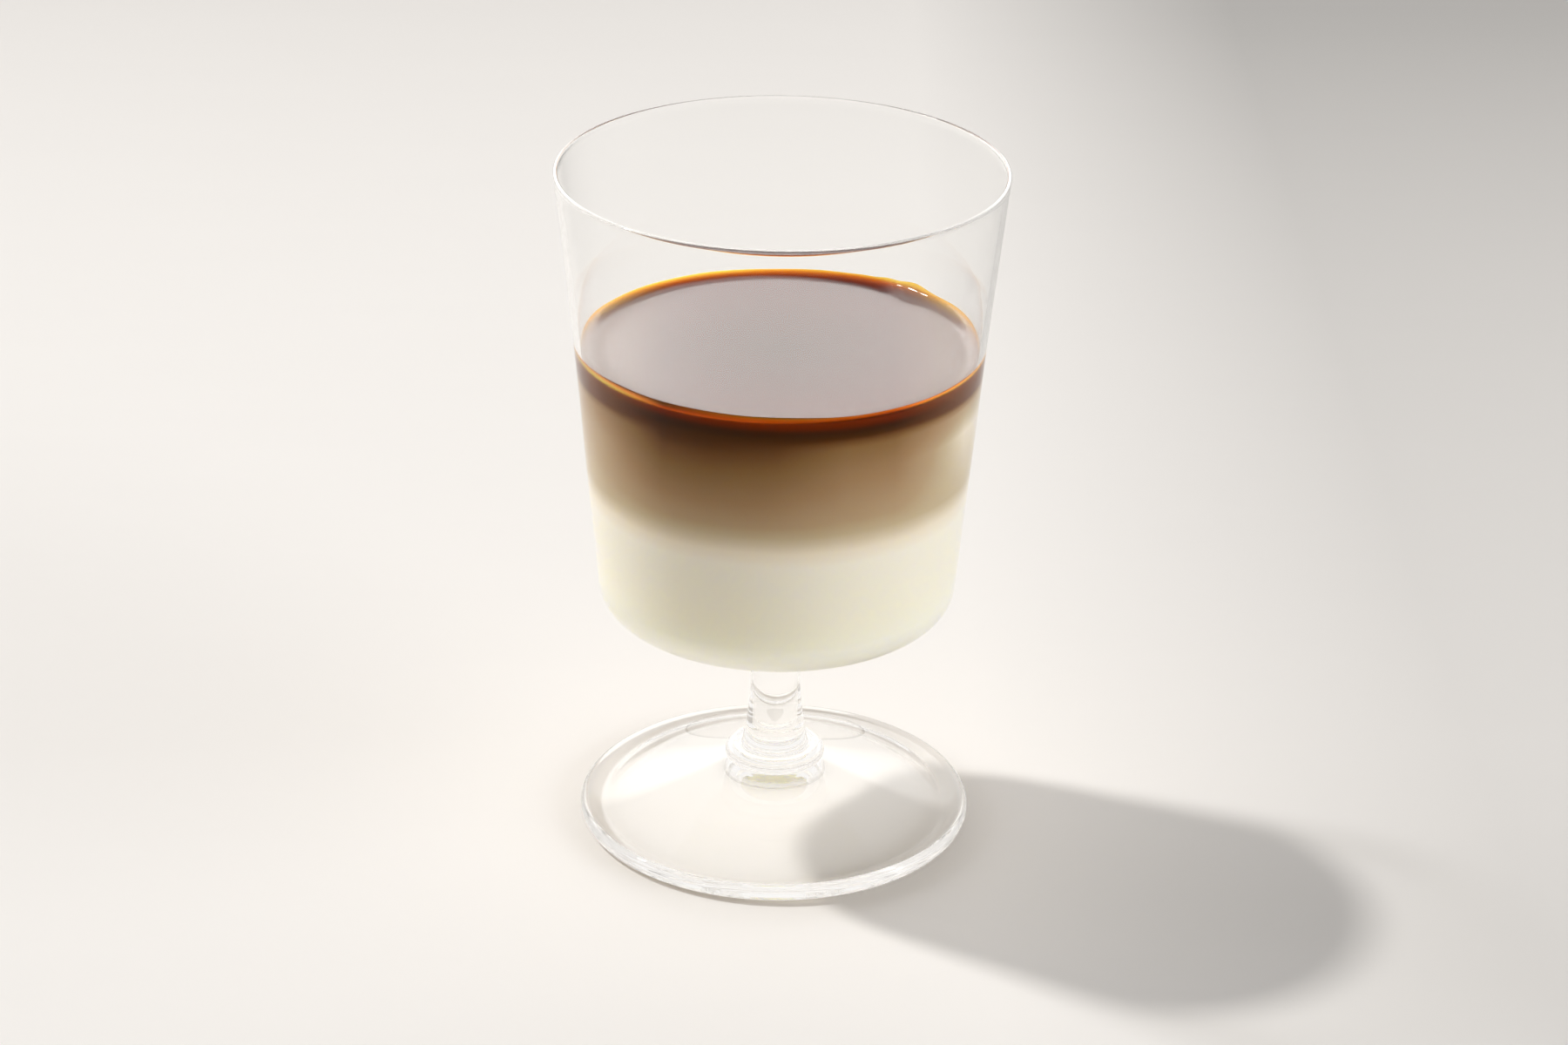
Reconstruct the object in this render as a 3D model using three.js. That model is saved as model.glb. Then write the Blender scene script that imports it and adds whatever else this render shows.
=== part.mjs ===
// Iced coffee in a short-stemmed goblet: white milk, milky coffee and a cap of black coffee.
// Millimetres, +Z up, the foot stands on z = 0 and the glass turns about the Z axis.

import * as THREE from 'three';

// Driving sizes
const segments = 48; // flats round the axis
const gap = 0.3; // clearance between solids that touch

const foot = {
  radius: 37.4,
  edgeThickness: 3.4, // fully rounded edge
  band: 0.85, // flat ring between the rounded edge and the rise
  restInner: 32, // the underside is hollow inside this radius
  hollowRise: 6.5, // height of the hollow on the axis
  topAtCollar: 11.8,
  sweep: 1.15, // how late the top surface rises towards the collar
};

const collar = { middle: 7.9, bead: 1.6, height: 12.7 };

const stem = {
  baseRadius: 6.35,
  baseHeight: 14.2,
  waist: 4.7,
  waistHeight: 28,
  filletRadius: 6, // flare into the underside of the bowl
};

const bowl = {
  height: 131,
  rimRadius: 41.4,
  lowerRadius: 33.7, // outer radius where the wall starts
  lowerHeight: 50,
  flare: 0.5, // extra width that the lip gains over a straight wall
  undersideHeight: 42.1,
  undersideSlope: 0.115,
  cornerRadius: 5.8,
  lipThickness: 0.9,
  wallThickness: 1.3, // at the bottom of the wall
  floorThickness: 2.3,
};

const drink = {
  milkTop: 72.8,
  milkyCoffeeTop: 93.3,
  level: 96.3,
  climb: 1.7, // how far the surface creeps up the glass
  climbWidth: 4.5,
};

// Points [r, z] on an arc, angles in degrees, both ends included
function arc(r, z, radius, from, to, steps) {
  return Array.from({ length: steps + 1 }, (unused, i) => {
    const angle = THREE.MathUtils.degToRad(from + (to - from) * i / steps);
    return [r + radius * Math.cos(angle), z + radius * Math.sin(angle)];
  });
}

// Points [r, z] of a curve r(t), z(t) for t from 0 to 1, both ends included
function curve(pointAt, steps) {
  return Array.from({ length: steps + 1 }, (unused, i) => pointAt(i / steps));
}

// The corner of a path, rounded to a radius: the arc that touches both sides
function roundedCorner(before, corner, after, radius, steps) {
  const at = new THREE.Vector2(...corner);
  const back = new THREE.Vector2(...before).sub(at).normalize();
  const on = new THREE.Vector2(...after).sub(at).normalize();
  const halfAngle = Math.acos(back.dot(on)) / 2;
  const middle = back.clone().add(on).normalize();
  const centre = at.clone().addScaledVector(middle, radius / Math.sin(halfAngle));
  const start = back.clone().multiplyScalar(radius / Math.tan(halfAngle)).add(at).sub(centre);
  const turn = (Math.PI - 2 * halfAngle) * Math.sign(-back.cross(on));
  return curve((t) => {
    const point = start.clone().rotateAround(new THREE.Vector2(), turn * t).add(centre);
    return point.toArray();
  }, steps);
}

// Outer radius of the bowl's wall: a straight taper that opens a little more towards the lip
function outerRadius(z) {
  const t = (z - bowl.lowerHeight) / (bowl.height - bowl.lowerHeight);
  const straight = bowl.rimRadius - bowl.lowerRadius - bowl.flare;
  return bowl.lowerRadius + straight * t + bowl.flare * Math.max(t, 0) ** 4;
}

function innerRadius(z) {
  const t = (z - bowl.lowerHeight) / (bowl.height - bowl.lowerHeight);
  return outerRadius(z) - THREE.MathUtils.lerp(bowl.wallThickness, bowl.lipThickness, t);
}

function undersideHeight(r) {
  return bowl.undersideHeight + bowl.undersideSlope * (r - stem.waist - stem.filletRadius);
}

// Floor of the inside, a shallow dish that runs level at the axis
function floorHeight(r) {
  const reach = bowl.lowerRadius;
  const fall = bowl.undersideSlope * reach / 2;
  return undersideHeight(reach) + bowl.floorThickness - fall * (1 - (r / reach) ** 2);
}

// The inside from the axis up to where the wall is straight, moved inwards by a clearance
function insideCorner(clearance) {
  const turnZ = floorHeight(bowl.lowerRadius) + clearance;
  const turnR = innerRadius(turnZ) - clearance;
  const inner = turnR - bowl.cornerRadius;
  const upper = turnZ + bowl.cornerRadius * 2;
  const floor = curve((t) => [inner * t, floorHeight(inner * t) + clearance], 3);
  const wallTop = [innerRadius(upper) - clearance, upper];
  const corner = roundedCorner(floor.at(-1), [turnR, turnZ], wallTop, bowl.cornerRadius - 1, 5);
  return [...floor, ...corner];
}

// Profiles run from the axis outwards, up the outside, and back in to the axis
function gobletProfile() {
  const edge = foot.edgeThickness / 2;
  const edgeMiddle = foot.radius - edge;
  const lip = bowl.lipThickness / 2;
  const lipZ = bowl.height - lip;
  const wallStart = bowl.lowerHeight + 3;

  const hollow = curve((t) => [foot.restInner * t, foot.hollowRise * (1 - t ** 2)], 7);
  const footEdge = arc(edgeMiddle, edge, edge, -90, 90, 7);
  const collarFoot = collar.middle + collar.bead * 0.7;
  const footTop = curve((t) => [
    THREE.MathUtils.lerp(edgeMiddle - foot.band, collarFoot, t),
    foot.edgeThickness + (foot.topAtCollar - foot.edgeThickness) * t ** foot.sweep,
  ], 6);
  const bead = arc(collar.middle, collar.height, collar.bead, -35, 115, 7);
  const stemSide = curve((t) => [
    stem.waist + (stem.baseRadius - stem.waist) * (1 - t) ** 1.6,
    THREE.MathUtils.lerp(stem.baseHeight, stem.waistHeight, t),
  ], 5);
  const filletZ = bowl.undersideHeight - stem.filletRadius;
  const fillet = arc(stem.waist + stem.filletRadius, filletZ, stem.filletRadius, 180, 97, 5);
  const cornerR = outerRadius(undersideHeight(bowl.lowerRadius));
  const corner = roundedCorner(
    fillet.at(-1),
    [cornerR, undersideHeight(cornerR)],
    [outerRadius(wallStart), wallStart],
    bowl.cornerRadius,
    6,
  );
  const outerWall = curve((t) => {
    const z = THREE.MathUtils.lerp(wallStart, lipZ, t);
    return [outerRadius(z), z];
  }, 6);
  const lipBead = arc(bowl.rimRadius - lip, lipZ, lip, 0, 180, 6).slice(1, -1);
  const innerWall = outerWall.map(([, z]) => [innerRadius(z), z]).reverse();

  return [
    ...hollow,
    ...footEdge,
    ...footTop,
    ...bead,
    ...stemSide,
    ...fillet,
    ...corner,
    ...outerWall,
    ...lipBead,
    ...innerWall.slice(0, -1),
    ...insideCorner(0).reverse(),
  ];
}

function wallPoint(z) {
  return [innerRadius(z) - gap, z];
}

function milkProfile() {
  return [...insideCorner(gap), wallPoint(drink.milkTop), [0, drink.milkTop]];
}

function milkyCoffeeProfile() {
  const bottom = drink.milkTop + gap;
  return [
    [0, bottom],
    wallPoint(bottom),
    wallPoint(drink.milkyCoffeeTop),
    [0, drink.milkyCoffeeTop],
  ];
}

// The surface is level in the middle and climbs the glass in a soft hollow curve
function blackCoffeeProfile() {
  const bottom = drink.milkyCoffeeTop + gap;
  const [brim, brimZ] = wallPoint(drink.level + drink.climb);
  const meniscus = curve((t) => [
    brim - drink.climbWidth * t,
    drink.level + drink.climb * (1 - t) ** 3,
  ], 6).slice(1);
  return [[0, bottom], wallPoint(bottom), [brim, brimZ], ...meniscus, [0, drink.level]];
}

function revolved(name, profile, material) {
  const geometry = new THREE.LatheGeometry(profile.map((point) => new THREE.Vector2(...point)), segments);
  geometry.rotateX(Math.PI / 2);
  const mesh = new THREE.Mesh(geometry, material);
  mesh.name = name;
  return mesh;
}

const clearGlass = new THREE.MeshStandardMaterial({
  color: 0xf4f6f4,
  roughness: 0.03,
  metalness: 0,
  transparent: true,
  opacity: 0.35,
});
const milkWhite = new THREE.MeshStandardMaterial({ color: 0xe9e4d3, roughness: 0.25, metalness: 0 });
const milkyBrown = new THREE.MeshStandardMaterial({ color: 0xa98c66, roughness: 0.25, metalness: 0 });
const darkBrown = new THREE.MeshStandardMaterial({ color: 0x3a1c0a, roughness: 0.08, metalness: 0 });

const icedCoffee = new THREE.Group();
icedCoffee.add(
  revolved('goblet', gobletProfile(), clearGlass),
  revolved('milk', milkProfile(), milkWhite),
  revolved('milky_coffee', milkyCoffeeProfile(), milkyBrown),
  revolved('black_coffee', blackCoffeeProfile(), darkBrown),
);

export default icedCoffee;
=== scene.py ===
import math

import bpy
import numpy as np
from mathutils import Matrix, Vector


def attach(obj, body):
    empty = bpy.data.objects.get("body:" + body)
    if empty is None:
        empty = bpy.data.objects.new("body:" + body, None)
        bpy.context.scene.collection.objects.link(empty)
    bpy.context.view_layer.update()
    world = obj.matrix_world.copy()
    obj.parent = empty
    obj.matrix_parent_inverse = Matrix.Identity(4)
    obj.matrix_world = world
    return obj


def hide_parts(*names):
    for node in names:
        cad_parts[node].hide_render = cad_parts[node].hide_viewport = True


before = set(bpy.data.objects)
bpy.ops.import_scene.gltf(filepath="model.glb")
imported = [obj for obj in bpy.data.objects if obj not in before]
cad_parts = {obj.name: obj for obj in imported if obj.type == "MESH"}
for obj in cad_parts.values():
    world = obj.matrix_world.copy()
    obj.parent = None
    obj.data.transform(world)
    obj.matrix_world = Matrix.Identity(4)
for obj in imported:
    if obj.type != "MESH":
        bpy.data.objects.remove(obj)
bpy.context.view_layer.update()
scene = bpy.context.scene
print("frame loaded:", sorted(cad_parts))


# Camera: where the photograph was taken from, in metres and degrees
view = {
    "place": (0.0002, -0.66422, 0.36967),
    "pitchDown": 24.946,
    "yaw": 0.085,  # to the right
    "roll": 0.817,
    "lens": 89.614,  # on a sensor 36 mm wide
}


def makeCamera():
    data = bpy.data.cameras.new("camera")
    data.lens = view["lens"]
    data.sensor_width = 36
    data.clip_start = 0.01
    camera = bpy.data.objects.new("camera", data)
    tilt = Matrix.Rotation(math.radians(90 - view["pitchDown"]), 4, "X")
    roll = Matrix.Rotation(math.radians(view["roll"]), 4, "Z")
    turn = Matrix.Rotation(math.radians(-view["yaw"]), 4, "Z")
    camera.matrix_world = Matrix.Translation(view["place"]) @ turn @ tilt @ roll
    scene.collection.objects.link(camera)
    scene.camera = camera


makeCamera()
print("camera placed")


# Shader maths

# A socket that takes part in Python sums: each operator adds one Math node
class Wire:
    def __init__(self, finish, socket):
        self.finish = finish
        self.socket = socket

    def math(self, operation, *others):
        terms = dict(enumerate((self, *others)))
        return self.finish.node("ShaderNodeMath", {"operation": operation}, terms)

    def __add__(self, other):
        return self.math("ADD", other)

    def __radd__(self, other):
        return self.math("ADD", other)

    def __sub__(self, other):
        return self.math("SUBTRACT", other)

    def __rsub__(self, other):
        return self.finish.node("ShaderNodeMath", {"operation": "SUBTRACT"}, {0: other, 1: self})

    def __mul__(self, other):
        return self.math("MULTIPLY", other)

    def __rmul__(self, other):
        return self.math("MULTIPLY", other)

    def __truediv__(self, other):
        return self.math("DIVIDE", other)

    def __pow__(self, other):
        return self.math("POWER", other)


# The nodes of a material or of a world
class Finish:
    def __init__(self, owner, outputKind="ShaderNodeOutputMaterial"):
        owner.use_nodes = True
        self.owner = owner
        self.tree = owner.node_tree
        self.tree.nodes.clear()
        self.output = self.tree.nodes.new(outputKind)

    # Any node: its settings go in first, then the values or wires of its sockets
    def node(self, kind, settings=None, sockets=None, out=0):
        made = self.tree.nodes.new(kind)
        for key, value in (settings or {}).items():
            if key == "stops":
                self.setStops(made.color_ramp.elements, value)
            else:
                setattr(made, key, value)
        for key, value in (sockets or {}).items():
            if isinstance(value, Wire):
                self.tree.links.new(value.socket, made.inputs[key])
            else:
                made.inputs[key].default_value = value
        return Wire(self, made.outputs[out])

    def setStops(self, elements, stops):
        while len(elements) < len(stops):
            elements.new(1.0)
        for element, (place, colour) in zip(elements, stops):
            element.position = place
            element.color = (*colour, 1.0)

    # A place on the piece in metres, whole and as x, y and z
    def coordinates(self):
        place = self.node("ShaderNodeTexCoord", out=3)
        split = self.node("ShaderNodeSeparateXYZ", sockets={0: place}).socket.node
        return place, *(Wire(self, split.outputs[i]) for i in range(3))

    # Soft noise from 0 to 1, its lumps about size metres across
    def noise(self, place, size, detail, stretch):
        scale = tuple(s / size for s in stretch)
        scaled = self.node("ShaderNodeMapping", sockets={"Vector": place, "Scale": scale})
        return self.node(
            "ShaderNodeTexNoise", sockets={"Vector": scaled, "Scale": 1.0, "Detail": detail}
        )

    # A colour looked up along stops, each a value and the colour there
    def ramp(self, value, stops):
        low, high = stops[0][0], stops[-1][0]
        share = [((at - low) / (high - low), tint) for at, tint in stops]
        return self.node("ShaderNodeValToRGB", {"stops": share}, {0: (value - low) / (high - low)})

    # The first colour where the factor is 0, the second where it is 1
    def mix(self, factor, first, second):
        return self.node(
            "ShaderNodeMix", {"data_type": "RGBA"}, {"Factor": factor, 6: first, 7: second}, out=2
        )

    # 0 where the value is at start, 1 where it is at end, even between them and held outside
    def rise(self, value, start, end):
        return self.clamp((value - start) / (end - start))

    def clamp(self, value):
        return self.node("ShaderNodeClamp", sockets={0: value})

    def finishWith(self, shader):
        self.tree.links.new(shader.socket, self.output.inputs["Surface"])
        return self.owner


# Surfaces of revolution

# r + radius cos a, z + radius sin a, for angles a from start to end in degrees
def arcPath(r, z, radius, start, end, count=24):
    a = np.radians(np.linspace(start, end, count))
    return np.stack([r + radius * np.cos(a), z + radius * np.sin(a)], 1)


# The arc that touches both sides of a corner, at radius / tan(half the angle) from it
def roundedCorner(before, corner, after, radius, count=24):
    before, corner, after = (np.asarray(p, float) for p in (before, corner, after))
    back = (before - corner) / np.linalg.norm(before - corner)
    on = (after - corner) / np.linalg.norm(after - corner)
    half = math.acos(back @ on) / 2
    centre = corner + (back + on) / np.linalg.norm(back + on) * radius / math.sin(half)
    start = corner + back * radius / math.tan(half) - centre
    end = corner + on * radius / math.tan(half) - centre
    a0, a1 = math.atan2(start[1], start[0]), math.atan2(end[1], end[0])
    turn = (a1 - a0 + math.pi) % (2 * math.pi) - math.pi
    return arcPath(*centre, radius, math.degrees(a0), math.degrees(a0 + turn), count)


# The path laid out evenly, averaged over a bell curve of width blur, then given count points
# that crowd where it bends: their spacing falls as 1 / (1 + curvature * 4 mm)
def polished(path, blur, count):
    step = 0.00006
    run = np.concatenate([[0], np.cumsum(np.linalg.norm(np.diff(path, axis=0), axis=1))])
    even = np.arange(0, run[-1], step)
    points = np.stack([np.interp(even, run, path[:, i]) for i in (0, 1)], 1)
    reach = int(3 * blur / step)
    bell = np.exp(-0.5 * (np.arange(-reach, reach + 1) * step / blur) ** 2)
    bell /= bell.sum()
    # past an end the path goes on as its mirror image, so that it stays level at the axis
    sides = (points[reach:0:-1] * (-1, 1), points, points[-2:-reach - 2:-1] * (-1, 1))
    long = np.concatenate(sides)
    soft = np.stack([np.convolve(long[:, i], bell, "valid") for i in (0, 1)], 1)
    soft[[0, -1], 0] = 0
    heading = np.unwrap(np.arctan2(*np.gradient(soft, axis=0).T[::-1]))
    weight = np.cumsum(1 + np.abs(np.gradient(heading, step)) * 0.004)
    chosen = np.interp(np.linspace(weight[0], weight[-1], count), weight, np.arange(len(soft)))
    at = np.arange(len(soft))
    return np.stack([np.interp(chosen, at, soft[:, i]) for i in (0, 1)], 1)


def angles(around):
    return np.linspace(0, 2 * np.pi, around, endpoint=False)[None, :]


# x = r cos a, y = r sin a, z = z for every row of r and z and every angle a, one a column. The
# first and the last row lie on the axis, where all angles share one vertex
def revolve(name, r, z):
    count, around = len(r) - 2, r.shape[1]
    a = angles(around)
    poles = np.array([[0, 0, z[0].mean()], [0, 0, z[-1].mean()]])
    r, z = r[1:-1], z[1:-1]
    rings = np.stack([r * np.cos(a), r * np.sin(a), z + 0 * a], 2).reshape(-1, 3)
    first, last = len(rings), len(rings) + 1
    index = np.arange(count * around).reshape(count, around)
    side = np.roll(index, -1, 1)
    quads = np.stack([index[:-1], side[:-1], side[1:], index[1:]], 2).reshape(-1, 4)
    bottom = np.stack([np.full(around, first), side[0], index[0]], 1)
    top = np.stack([np.full(around, last), index[-1], side[-1]], 1)
    mesh = bpy.data.meshes.new(name)
    vertices = np.concatenate([rings, poles])
    mesh.from_pydata(vertices.tolist(), [], quads.tolist() + bottom.tolist() + top.tolist())
    mesh.polygons.foreach_set("use_smooth", np.ones(len(mesh.polygons), bool))
    mesh.update()
    piece = bpy.data.objects.new(name, mesh)
    scene.collection.objects.link(piece)
    return piece


# Goblet: one piece of clear glass, sizes in metres
goblet = {
    "height": 0.131,
    "rimRadius": 0.0414,
    "lowerRadius": 0.0337,  # where the wall starts, outside
    "lowerHeight": 0.050,
    "flare": 0.0005,
    "undersideHeight": 0.0421,
    "undersideSlope": 0.115,
    "cornerRadius": 0.0058,
    "lipThickness": 0.0009,
    "wallThickness": 0.0013,
    "floorThickness": 0.0023,
    "footRadius": 0.0374,
    "footEdge": 0.0034,
    "footBand": 0.00085,  # flat ring between the rounded edge and the rise
    "restInner": 0.032,
    "hollowRise": 0.0065,
    "footAtCollar": 0.0118,
    "footSweep": 1.15,
    "collarMiddle": 0.0079,
    "collarBead": 0.0016,
    "collarHeight": 0.0127,
    "stemBase": 0.00635,
    "stemBaseHeight": 0.0142,
    "stemWaist": 0.0047,
    "stemWaistHeight": 0.028,
    "stemFillet": 0.006,
    "polish": 0.0002,  # how softly fire has rounded every edge
    "waviness": 0.00003,  # unevenness of the wall
    "points": 340,
    "around": 224,
    "tint": (0.997, 0.998, 0.995, 1),
    "smear": 0.012,  # roughness where the wall is least clear
    "lipHaze": 0.10,  # roughness of the lip
    "faceOn": (0.99, 0.99, 0.987, 1),  # what light keeps on its way through
    "grazing": (0.5, 0.49, 0.47, 1),
    "edgeShade": (0.36, 0.31, 0.25, 1),
}


# How far up the wall a height is, 0 where the wall starts and 1 at the lip
def wallShare(z):
    return (z - goblet["lowerHeight"]) / (goblet["height"] - goblet["lowerHeight"])


# A straight taper that opens by flare * t^4 towards the lip, t being the share of the wall
def outerRadius(z):
    t = wallShare(z)
    straight = goblet["rimRadius"] - goblet["lowerRadius"] - goblet["flare"]
    return goblet["lowerRadius"] + straight * t + goblet["flare"] * np.maximum(t, 0) ** 4


# The outer radius less a wall that thins evenly from its foot to the lip
def innerRadius(z):
    t = wallShare(z)
    return outerRadius(z) - goblet["wallThickness"] * (1 - t) - goblet["lipThickness"] * t


# A shallow cone: height rises with radius at a constant slope
def undersideHeight(r):
    return goblet["undersideHeight"] + goblet["undersideSlope"] * (
        r - goblet["stemWaist"] - goblet["stemFillet"]
    )


# A shallow dish: height goes as radius squared
def floorHeight(r):
    reach = goblet["lowerRadius"]
    fall = goblet["undersideSlope"] * reach / 2
    return undersideHeight(reach) + goblet["floorThickness"] - fall * (1 - (r / reach) ** 2)


# Floor and rounded corner of the inside, from the axis up, moved into the glass by grow
def insidePath(grow):
    turnZ = floorHeight(goblet["lowerRadius"]) - grow
    turnR = innerRadius(turnZ) + grow
    flat = turnR - goblet["cornerRadius"]
    upper = turnZ + goblet["cornerRadius"] * 2
    r = np.linspace(0, flat, 30)
    floor = np.stack([r, floorHeight(r) - grow], 1)
    wall = (innerRadius(upper) + grow, upper)
    corner = roundedCorner(floor[-1], (turnR, turnZ), wall, goblet["cornerRadius"] - 0.001)
    return np.concatenate([floor, corner])


# Underside, foot, collar, stem, outside of the bowl, lip, and back down the inside
def gobletPath():
    g = goblet
    edge, lip = g["footEdge"] / 2, g["lipThickness"] / 2
    t = np.linspace(0, 1, 60)
    hollow = np.stack([g["restInner"] * t, g["hollowRise"] * (1 - t ** 2)], 1)
    footEdge = arcPath(g["footRadius"] - edge, edge, edge, -90, 90)
    collarFoot = g["collarMiddle"] + g["collarBead"] * 0.7
    bandInner = footEdge[-1, 0] - g["footBand"]
    footTop = np.stack([
        bandInner + (collarFoot - bandInner) * t,
        g["footEdge"] + (g["footAtCollar"] - g["footEdge"]) * t ** g["footSweep"],
    ], 1)
    bead = arcPath(g["collarMiddle"], g["collarHeight"], g["collarBead"], -35, 115)
    stem = np.stack([
        g["stemWaist"] + (g["stemBase"] - g["stemWaist"]) * (1 - t) ** 1.6,
        g["stemBaseHeight"] + (g["stemWaistHeight"] - g["stemBaseHeight"]) * t,
    ], 1)
    filletR = g["stemWaist"] + g["stemFillet"]
    fillet = arcPath(filletR, g["undersideHeight"] - g["stemFillet"], g["stemFillet"], 180, 97)
    wallStart = g["lowerHeight"] + 0.003
    cornerR = outerRadius(undersideHeight(g["lowerRadius"]))
    corner = roundedCorner(
        fillet[-1],
        (cornerR, undersideHeight(cornerR)),
        (outerRadius(wallStart), wallStart),
        g["cornerRadius"],
    )
    z = np.linspace(wallStart, g["height"] - lip, 60)
    outside = np.stack([outerRadius(z), z], 1)
    rim = arcPath(g["rimRadius"] - lip, g["height"] - lip, lip, 0, 180)
    inside = np.stack([innerRadius(z), z], 1)[::-1]
    return np.concatenate([
        hollow, footEdge, footTop, bead, stem, fillet, corner, outside, rim[1:-1],
        inside[:-1], insidePath(0)[::-1],
    ])


# Soft waves, sin(2a + z/9 mm) + 0.6 sin(5a - z/5 mm) + 0.5 sin(3a + z/14 mm), which fade out
# below the bowl, where rings that were turned into the stem take over: sin(z / 0.35 mm)
def wallRipple(r, z, a):
    bowl = np.clip((z - 0.05) / 0.01, 0, 1) * np.clip((0.1305 - z) / 0.004, 0, 1)
    waves = np.sin(2 * a + z / 0.009) + 0.6 * np.sin(5 * a - z / 0.005)
    waves = waves + 0.5 * np.sin(3 * a + z / 0.014)
    onStem = (r < 0.0072) & (z > 0.0145) & (z < 0.03)
    rings = np.sin(z / 0.00035) * np.exp(-((z - 0.0175) / 0.0018) ** 2) * onStem
    return goblet["waviness"] * (waves * bowl + 0.5 * rings)


# Clear glass with a breath of green. Rays on their way to a lamp, and rays that carry soft
# light, go straight through it, so that what is behind it is lit evenly
def clearGlass():
    finish = Finish(bpy.data.materials.new("clearGlass"))
    place, x, y, z = finish.coordinates()
    smear = finish.noise(place, 0.03, 3.0, (1, 1, 0.4))
    lip = finish.rise(z, goblet["height"] - 0.0011, goblet["height"] - 0.0007)
    glass = finish.node("ShaderNodeBsdfPrincipled", sockets={
        "Base Color": goblet["tint"],
        "Roughness": smear * goblet["smear"] + lip * goblet["lipHaze"],
        "IOR": 1.5,
        "Specular Tint": (0.1, 0.1, 0.1, 1),  # keeps the sheen to the edges
        "Transmission Weight": 1.0,
        "Coat Weight": lip,
        "Coat Roughness": 0.05,
    })
    # lamps shine straight through, less so where they graze the wall
    clear, dim, dark = (
        finish.node("ShaderNodeBsdfTransparent", sockets={"Color": goblet[kept]})
        for kept in ("faceOn", "grazing", "edgeShade")
    )
    facing = finish.node("ShaderNodeLayerWeight", sockets={"Blend": 0.5}, out=1)
    veil = finish.node("ShaderNodeMixShader", sockets={0: facing ** 4, 1: clear, 2: dim})
    # the round edge of the foot throws a thin dark line
    radius = (x * x + y * y) ** 0.5
    edge = finish.rise(radius, 0.0352, 0.0358) * finish.rise(z, 0.0045, 0.0040)
    veil = finish.node("ShaderNodeMixShader", sockets={0: edge, 1: veil, 2: dark})
    path = finish.node("ShaderNodeLightPath").socket.node
    diffuse, glossy, bent, crossed, towardsLamp = (
        Wire(finish, path.outputs[kind]) for kind in (
            "Is Diffuse Ray", "Is Glossy Ray", "Is Transmission Ray", "Transmission Depth",
            "Is Shadow Ray",
        )
    )
    # in the foot, an odd number of crossings means that the ray is inside the glass and stays so
    outside = 1 - crossed.math("MODULO", 2.0) * finish.rise(z, 0.050, 0.049)
    passing = finish.clamp(diffuse + glossy * (1 - bent) * outside)
    soft = finish.node("ShaderNodeMixShader", sockets={0: passing, 1: glass, 2: clear})
    whole = finish.node("ShaderNodeMixShader", sockets={0: towardsLamp, 1: soft, 2: veil})
    return finish.finishWith(whole)


def makeGoblet():
    path = polished(gobletPath(), goblet["polish"], goblet["points"])
    a = angles(goblet["around"])
    r, z = path[:, 0:1], path[:, 1:2]
    return revolve("clearGoblet", r + wallRipple(r, z, a), z + 0 * a)


gobletPiece = makeGoblet()
gobletPiece.data.materials.append(clearGlass())
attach(gobletPiece, "root")
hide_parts("goblet")
print("goblet made:", len(gobletPiece.data.polygons), "faces")


# Drink: milk below, milky coffee, black coffee on top, in one still body
drink = {
    "level": 0.0963,
    "reach": 0.00015,  # how far it goes into the wall, so that no air shows between
    "capillary": 0.0016,  # sets how wide the edge of the surface climbs
    "spotCapillary": 0.0003,  # more of it at the tall spot of the brim
    "climb": 0.0017,  # mean height of the brim over the level
    "around": 320,
}


# The mean climb, higher where the glass was last tipped, with small uneven lobes, sin(3a + 1),
# sin(7a) and sin(13a + 2), slow ones, sin(2a + 0.54), and one tall spot at the right, behind
def brimHeight(a):
    lobes = 0.10 * np.sin(3 * a + 1) + 0.06 * np.sin(7 * a) + 0.04 * np.sin(13 * a + 2)
    lobes = lobes + 0.36 * np.sin(2 * a + 0.54)
    spot = 0.75 * np.exp(-((a - 0.80) / 0.10) ** 2) + 0.25 * np.exp(-((a - 0.98) / 0.05) ** 2)
    tip = 0.44 * np.cos(a - 4.50)
    return drink["level"] + drink["climb"] + (lobes + spot + tip) * 0.001


# The curve of a liquid that climbs a wall. At slope p its height over the level is
# 2c sin(p/2), and its way from the wall is c (ln cot(p/4) - 2 cos(p/2)) less the same at the
# wall's slope, c being the capillary length. One row a slope, from the brim to the axis
def surfaceRows(a):
    c = drink["capillary"] + drink["spotCapillary"] * np.exp(-((a - 0.81) / 0.10) ** 2)
    brim = brimHeight(a)
    steepest = 2 * np.arcsin((brim - drink["level"]) / (2 * c))
    p = steepest * (0.0005 ** np.linspace(0, 1, 72))[:, None]
    away = np.log(1 / np.tan(p / 4)) - 2 * np.cos(p / 2)
    r = innerRadius(brim) + drink["reach"] - c * (away - away[0])
    z = drink["level"] + 2 * c * np.sin(p / 2)
    inwards = np.linspace(1, 0, 14)[1:, None]
    flat = drink["level"] + 0 * inwards * a
    return np.concatenate([r, r[-1] * inwards]), np.concatenate([z, flat])


# The inside of the glass up to the brim of the surface, then the surface to the axis
def makeDrink():
    a = angles(drink["around"])
    below = insidePath(drink["reach"])
    surfaceR, surfaceZ = surfaceRows(a)
    t = 1 - (1 - np.linspace(0, 1, 46)[1:-1, None]) ** 2
    wallZ = below[-1, 1] + (surfaceZ[0] - below[-1, 1]) * t
    wallR = innerRadius(wallZ) + drink["reach"]
    r = np.concatenate([below[:, 0:1] + 0 * a, wallR, surfaceR])
    z = np.concatenate([below[:, 1:2] + 0 * a, wallZ, surfaceZ])
    return revolve("layeredDrink", r, z)


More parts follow.
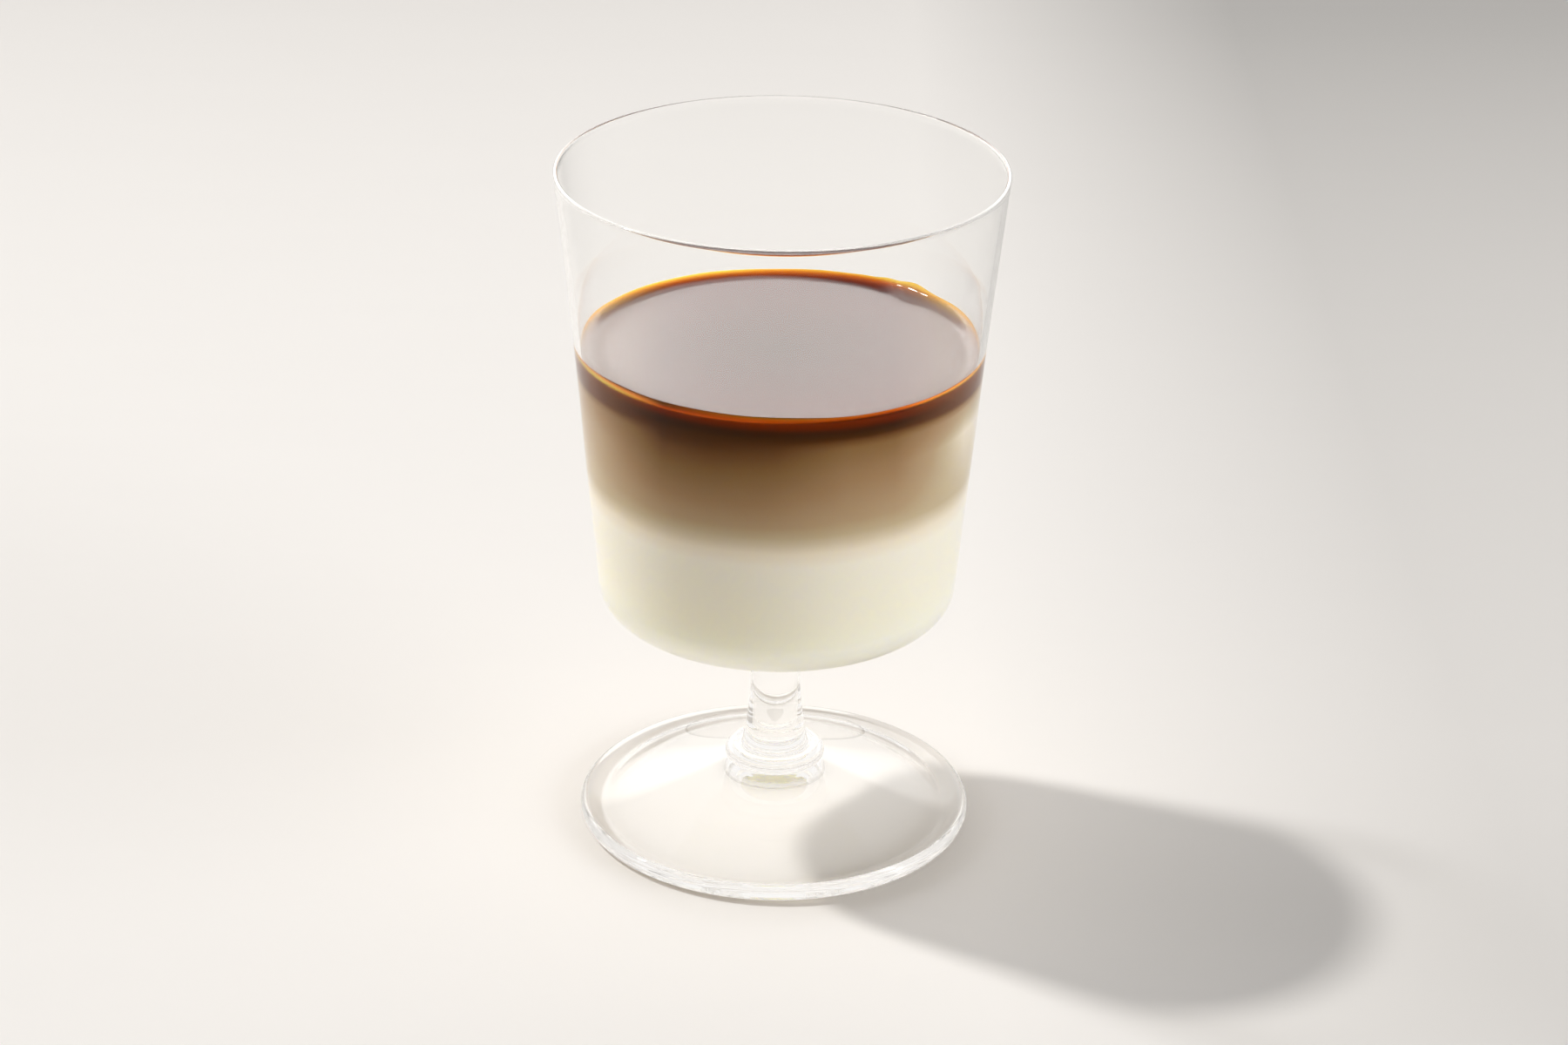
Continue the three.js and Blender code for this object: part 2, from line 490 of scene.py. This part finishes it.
# Colours of the drink. Layers go by height over the table; the brim goes by depth below the
# edge of the surface, where the coffee is a thin wedge: painted light, brighter behind than in
# front, stands for the light that the wedge lets through
layers = {
    "stops": [
        (0.0450, (0.990, 0.898, 0.770)),
        (0.0560, (0.970, 0.872, 0.735)),
        (0.0677, (0.935, 0.864, 0.745)),
        (0.0705, (0.86, 0.77, 0.62)),
        (0.0723, (0.70, 0.60, 0.44)),
        (0.0740, (0.58, 0.47, 0.30)),
        (0.0758, (0.50, 0.36, 0.215)),
        (0.0810, (0.40, 0.25, 0.125)),
        (0.0879, (0.27, 0.145, 0.050)),
        (0.0912, (0.18, 0.075, 0.020)),
        (0.0933, (0.085, 0.025, 0.003)),
        (0.0947, (0.045, 0.010, 0.0008)),
    ],
    "brimFront": [
        (0.0, (0.006, 0.0030, 0.0001)),
        (0.0008, (0.024, 0.0036, 0.0001)),
        (0.0014, (0.115, 0.0120, 0.0001)),
        (0.0022, (0.105, 0.0110, 0.0001)),
        (0.0032, (0.062, 0.0065, 0.0002)),
    ],
    "brimBackPaintedLight": [
        (0.0, (0.20, 0.032, 0.004)),
        (0.0005, (0.14, 0.012, 0.0003)),
        (0.0010, (0.10, 0.0060, 0.0003)),
        (0.0030, (0.036, 0.0045, 0.0003)),
    ],
    "paintedCapGlow": (0.15, 0.045, 0.008),
    "paintedFlankShade": (0.002, 0.0012, 0.0001),
    "deep": (0.045, 0.0115, 0.0035),  # far from the wall, under the open surface
    "paintedLeftShade": 0.0012,  # painted shade: how much lower the layers are drawn left of the middle, to darken it
    "waver": 0.0006,  # how unevenly the layers lie
    "paintedRightLight": 0.0042,  # painted light: how much higher the paler layers are drawn at the right, to lighten it
    "paintedSideLight": 0.0112,  # painted light: and at both sides, to lighten the edges
    "sides": (0.0205, 0.033),  # where the sides begin and end, from the middle
    "milkEnd": (0.0742, 0.0862),  # the milk lies level, and the painted side light grows above it
    "capStart": (0.0936, 0.0914),  # the black cap lies level too
}


def layeredDrink():
    finish = Finish(bpy.data.materials.new("layeredDrink"))
    place, x, y, z = finish.coordinates()
    lumps = finish.noise(place, 0.016, 3.0, (1, 1, 1.6)) - 0.5
    calm = finish.rise(z, 0.094, 0.086)  # the layers waver less towards the surface
    between = finish.rise(z, *layers["milkEnd"]) * finish.rise(z, *layers["capStart"])
    sides = finish.rise((x * x) ** 0.5, *layers["sides"])
    # painted light and shade: the layers are moved up at both sides and at the right, and down left
    # of the middle, so the edges and the right look lit and the left of the middle shaded
    paintedLightShift = (
        sides * layers["paintedSideLight"] + finish.rise(x, 0, 0.012) * layers["paintedRightLight"]
        - finish.rise(x, 0, -0.0125) * layers["paintedLeftShade"]
    )
    height = z - paintedLightShift * between + lumps * calm * (2 * layers["waver"])
    byHeight = finish.ramp(height, layers["stops"])
    # the brim's own height round the glass, from the slow terms of brimHeight
    east, north = x / 0.0375, y / 0.0375
    tilt = east * -0.09 - north * 0.43 + east * north * 0.62 + (east * east - north * north) * 0.185
    depth = drink["level"] + drink["climb"] + tilt * 0.001 - z
    # painted light: the brim behind is given brighter colours than the one in front, as lit through
    # its thin wedge
    brim = finish.mix(
        finish.rise(y, -0.0376, 0.0376),
        finish.ramp(depth, layers["brimFront"]),
        finish.ramp(depth, layers["brimBackPaintedLight"]),
    )
    colour = finish.mix(finish.rise(depth, 0.0033, 0.0023), byHeight, brim)
    # painted shade: the brim is darker at the left in front
    paintedFlankShade = finish.rise(x, 0, -0.02) ** 2 * finish.rise(y, 0, -0.01) * 0.85
    paintedFlankShade = paintedFlankShade * finish.rise(depth, 0.0016, 0.0006)
    colour = finish.mix(paintedFlankShade, colour, (*layers["paintedFlankShade"], 1))
    # painted light: the top of the cap is lighter at both sides, standing for light let through the
    # edges
    paintedCapLight = sides * finish.rise(z, 0.0925, 0.0935) * finish.rise(depth, 0, 0.001)
    colour = finish.mix(paintedCapLight, colour, (*layers["paintedCapGlow"], 1))
    # the open surface shines; the side lies against the glass and has no shine of its own, and
    # the brim behind, at the left, is too steep to mirror the room
    t = wallShare(z)
    wall = goblet["lowerRadius"] - goblet["wallThickness"] + drink["reach"] + t * (
        goblet["rimRadius"] - goblet["lowerRadius"] - goblet["flare"]
        + goblet["wallThickness"] - goblet["lipThickness"]
    ) + t * t * t * t * goblet["flare"]
    fromWall = wall - (x * x + y * y) ** 0.5
    under = finish.rise(fromWall, 0, 0.045) * finish.rise(z, 0.0940, 0.0955)
    colour = finish.mix(under, colour, (*layers["deep"], 1))
    raised = z + x * 0.004 - drink["level"]
    steep = (
        finish.rise(raised, 0.00018, 0.00033) * finish.rise(y, 0.0075, 0.0263)
        * finish.rise(x, 0.023, 0.019)
    )
    shine = finish.rise(fromWall, 0, 0.0001) * finish.rise(z, 0.089, 0.090) * (1 - steep * 0.9)
    body = finish.node("ShaderNodeBsdfPrincipled", sockets={
        "Base Color": colour,
        "Roughness": 0.3,
        "Specular IOR Level": 0.0,
        "Subsurface Weight": 1.0,
        "Subsurface Radius": (0.95, 0.9, 0.56),
        "Subsurface Scale": 0.0105,
        "Coat Weight": shine,
        "Coat IOR": 1.6,
        "Coat Roughness": 0.012,
    })
    return finish.finishWith(body)


drinkPiece = makeDrink()
drinkPiece.data.materials.append(layeredDrink())
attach(drinkPiece, "root")
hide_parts("milk", "milky_coffee", "black_coffee")
print("drink made:", len(drinkPiece.data.polygons), "faces")


# Floor and light
stage = {
    "floorRadius": 9.0,
    "floorColour": (0.93, 0.905, 0.875),
    "grain": 0.02,
    "floorFalloff": 0.84,  # painted shade: how much darker it gets far behind
    "sunFrom": (-0.5764, 0.2836, 0.766),
    "sunWidth": 4.5,  # degrees across
    "sunStrength": 1.69,
    "sunColour": (1.0, 0.985, 0.96),
    "sky": 0.10,  # overhead
    "horizon": 0.25,  # added low down, all round
    "mirrored": 0.9,  # what reflections show in front and at the sides
    "mirroredWall": [  # and behind, by steepness
        (-0.1, (0.9, 0.9, 0.9)),
        (0.1, (1.0, 1.0, 1.0)),
        (0.3, (2.42, 2.42, 2.42)),
        (0.46, (3.28, 3.28, 3.28)),
        (0.52, (1.4, 1.4, 1.4)),
        (0.95, (1.0, 1.0, 1.0)),
    ],
    "floorHeight": -0.00015,
    "backdrop": (0.96, 0.94, 0.915),
    "panels": [  # name, place, size, aim, radiance, colour
        ("window", (0.0, 2.6, 0.80), (3.6, 1.36), (0, 2.0, 0.80), 3.1, (1.0, 0.96, 0.93)),
        ("right", (2.3, -0.75, 0.75), (2.0, 1.3), (0, 0, 0.07), 5.0, (0.95, 0.97, 1.0)),
        ("left", (-2.2, 0.85, 0.75), (1.4, 1.3), (0, 0, 0.07), 4.2, (1, 1, 1)),
    ],
}


# A disc of one ring of vertices round a middle one
def makeFloor():
    a = np.linspace(0, 2 * np.pi, 128, endpoint=False)
    ring = np.stack([np.cos(a), np.sin(a), 0 * a], 1) * stage["floorRadius"]
    middle = np.zeros((1, 3))
    i = np.arange(128)
    faces = np.stack([np.full(128, 128), i, (i + 1) % 128], 1)
    mesh = bpy.data.meshes.new("floor")
    below = (0, 0, stage["floorHeight"])
    mesh.from_pydata((np.concatenate([ring, middle]) + below).tolist(), [], faces.tolist())
    floor = bpy.data.objects.new("floor", mesh)
    scene.collection.objects.link(floor)
    finish = Finish(bpy.data.materials.new("paleFloor"))
    place, x, y, z = finish.coordinates()
    grain = finish.noise(place, stage["grain"], 4.0, (0.25, 1, 1))
    darker = tuple(c * 0.985 for c in stage["floorColour"]) + (1,)
    tint = finish.mix(grain, darker, stage["floorColour"] + (1,))
    # painted shade: the floor darkens towards the right and far behind, as the light falls off
    right = finish.rise(x, 0.04, 0.14) * (0.22 + finish.rise(y, 0, 0.5) * 0.18)
    far = finish.rise(y, 0.05, 0.95) ** 2 * stage["floorFalloff"] + right
    tint = finish.mix(far, tint, (0, 0, 0, 1))
    paint = finish.node("ShaderNodeBsdfPrincipled", sockets={"Base Color": tint, "Roughness": 0.7})
    mesh.materials.append(finish.finishWith(paint))


# A soft box that shines radiance * pi * area watts, unseen by the camera
def panel(name, place, size, aim, radiance, colour):
    data = bpy.data.lights.new(name, "AREA")
    data.shape = "RECTANGLE"
    data.size, data.size_y = size
    data.energy = radiance * math.pi * size[0] * size[1]
    data.color = colour
    light = bpy.data.objects.new(name, data)
    light.location = place
    light.rotation_euler = (Vector(place) - Vector(aim)).to_track_quat("Z", "Y").to_euler()
    light.visible_camera = False
    light.visible_transmission = False
    light.visible_glossy = False
    scene.collection.objects.link(light)


def makeLights():
    sun = bpy.data.lights.new("key", "SUN")
    sun.angle = math.radians(stage["sunWidth"])
    sun.energy = stage["sunStrength"]
    sun.color = stage["sunColour"]
    key = bpy.data.objects.new("key", sun)
    key.rotation_euler = Vector(stage["sunFrom"]).to_track_quat("Z", "Y").to_euler()
    scene.collection.objects.link(key)
    for settings in stage["panels"]:
        panel(*settings)


# Dim overhead and brighter low down; even and near white where the camera sees it, straight,
# through the glass or mirrored
def makeSky():
    world = bpy.data.worlds.new("sky")
    scene.world = world
    sky = Finish(world, "ShaderNodeOutputWorld")
    towards = sky.node("ShaderNodeSeparateXYZ", sockets={0: sky.node("ShaderNodeTexCoord")})
    x, y, z = (Wire(sky, socket) for socket in towards.socket.node.outputs)
    path = sky.node("ShaderNodeLightPath").socket.node.outputs
    lit = stage["sky"] + sky.rise(z, 0.45, 0.1) * stage["horizon"]
    behind = sky.rise(y, 0.2, 0.6)
    wall = sky.ramp(z, stage["mirroredWall"])
    aside = sky.rise(x * x, 0, 0.0033) * (0.33 - sky.rise(x, 0, 0.033) * 0.21)
    overhead = sky.rise(z, 0.75, 0.90)
    mirror = stage["mirrored"] + (wall * (aside + 1) - stage["mirrored"]) * behind + overhead
    bent = Wire(sky, path["Is Transmission Ray"])
    mirrored = Wire(sky, path["Is Glossy Ray"]) * (1 - bent)
    seen = sky.clamp(Wire(sky, path["Is Camera Ray"]) + bent)
    strength = lit * (1 - seen) * (1 - mirrored) + mirrored * mirror + seen
    glow = sky.node("ShaderNodeBackground", sockets={0: (*stage["backdrop"], 1), 1: strength})
    sky.finishWith(glow)


makeFloor()
makeLights()
makeSky()
scene.view_settings.view_transform = "Standard"
# enough bounces for light that runs round inside the edge of the foot and the rim
scene.cycles.max_bounces = 32
scene.cycles.glossy_bounces = 24
scene.cycles.transmission_bounces = 24
print("floor and lights made")
